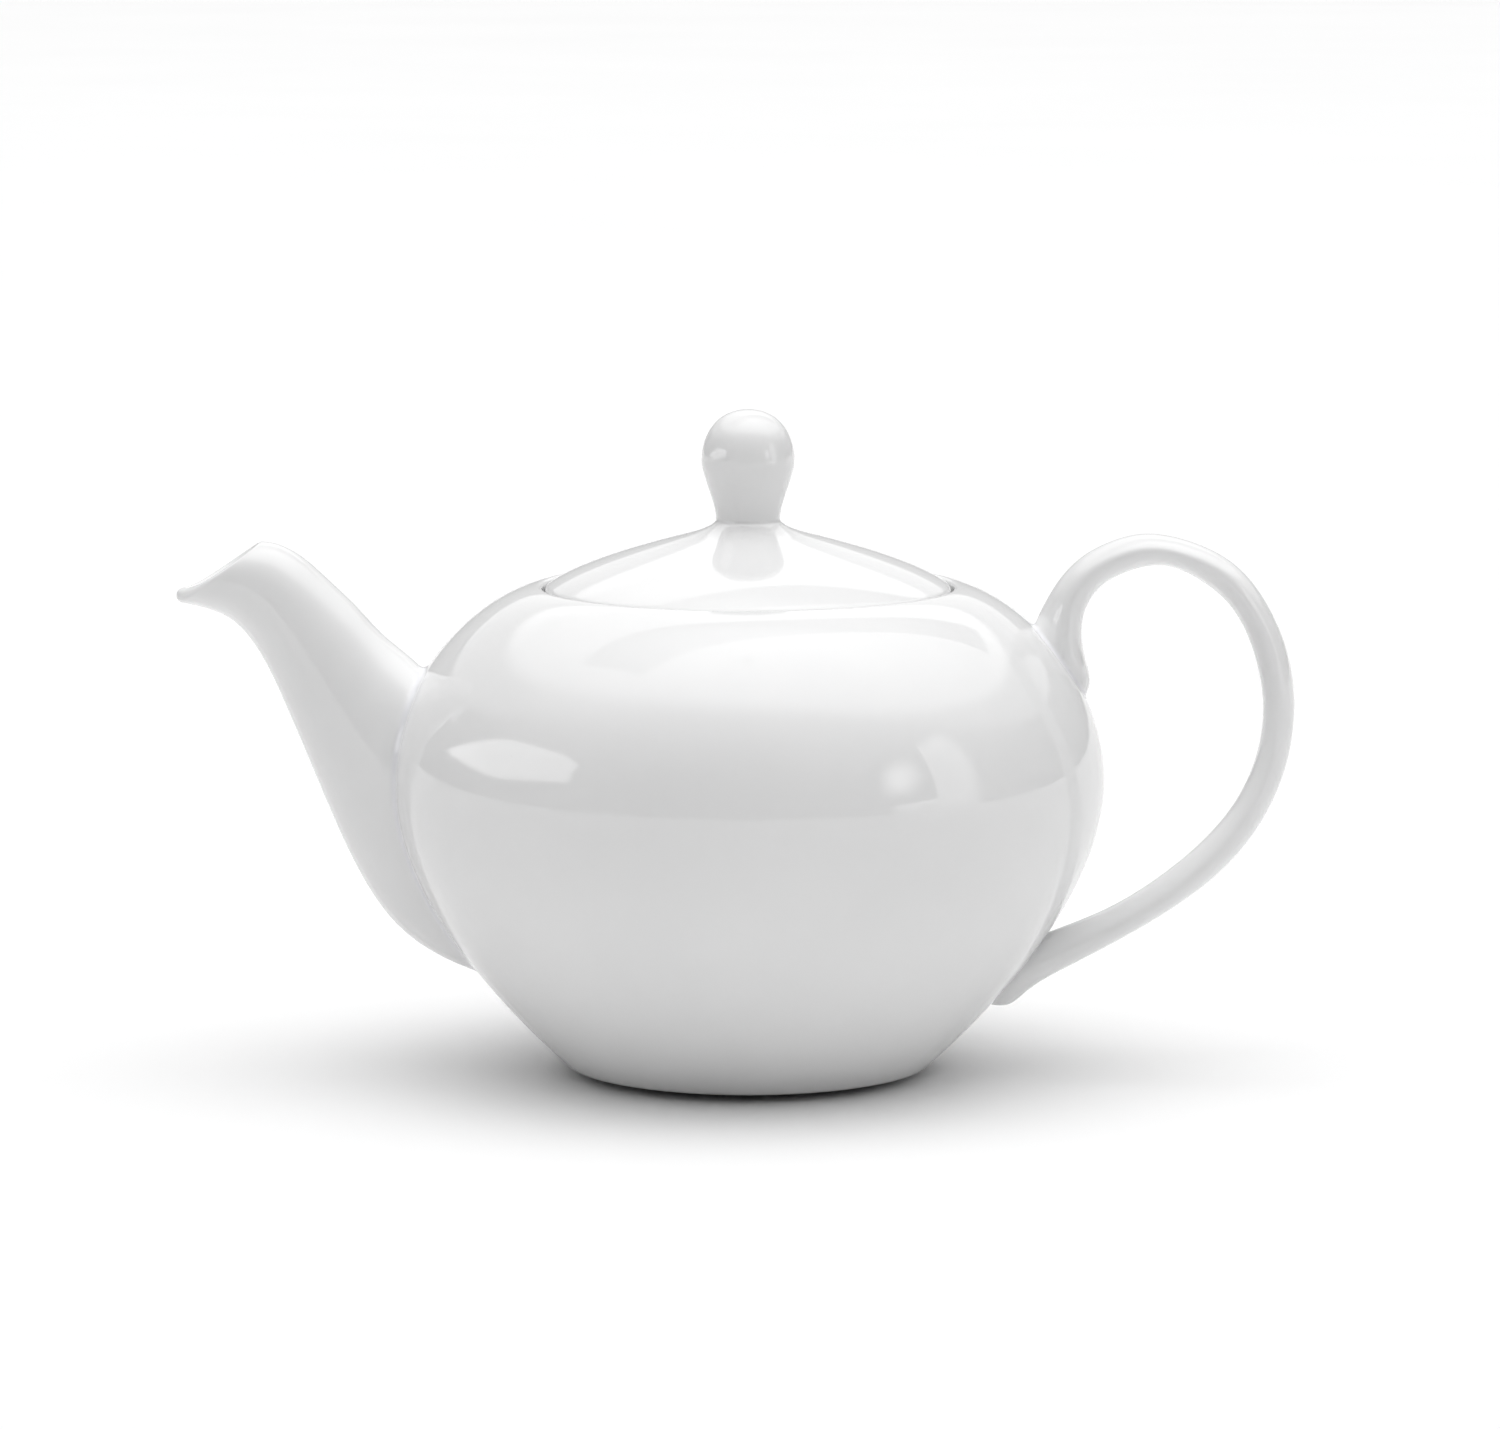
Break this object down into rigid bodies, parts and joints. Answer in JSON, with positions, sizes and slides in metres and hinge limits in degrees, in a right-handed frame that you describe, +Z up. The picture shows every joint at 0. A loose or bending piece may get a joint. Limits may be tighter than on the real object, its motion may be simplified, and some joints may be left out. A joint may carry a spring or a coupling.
{
  "type": "teapot",
  "caption": "Round-bellied porcelain teapot with a swept-up spout, a loop handle and a lift-off domed lid with a round knob, for brewing and pouring tea.",
  "frame": {"origin": "on the pot's axis, in the plane of the foot ring it stands on", "axes": "+Z up along the pot's axis; the spout points to -X and the handle to +X; +Y completes a right-handed frame"},
  "size_m": [0.2499, 0.1594, 0.1489],
  "materials": {
    "pot_glaze": "white gloss glaze over porcelain, foot ring left bare",
    "spout_glaze": "white gloss glaze over porcelain",
    "handle_glaze": "white gloss glaze over porcelain",
    "lid_glaze": "white gloss glaze over porcelain, seat left bare",
    "knob_glaze": "white gloss glaze over porcelain"
  },
  "bodies": {
    "teapot": {"pot_body": "pot_glaze", "spout": "spout_glaze", "handle": "handle_glaze"},
    "lid_assembly": {"lid": "lid_glaze", "lid_knob": "knob_glaze"}
  },
  "joints": [
    {"name": "lid_lift", "type": "slide", "parent": "teapot", "child": "lid_assembly", "axis": [0, 0, 1], "range_m": [0, 0.06]}
  ]
}
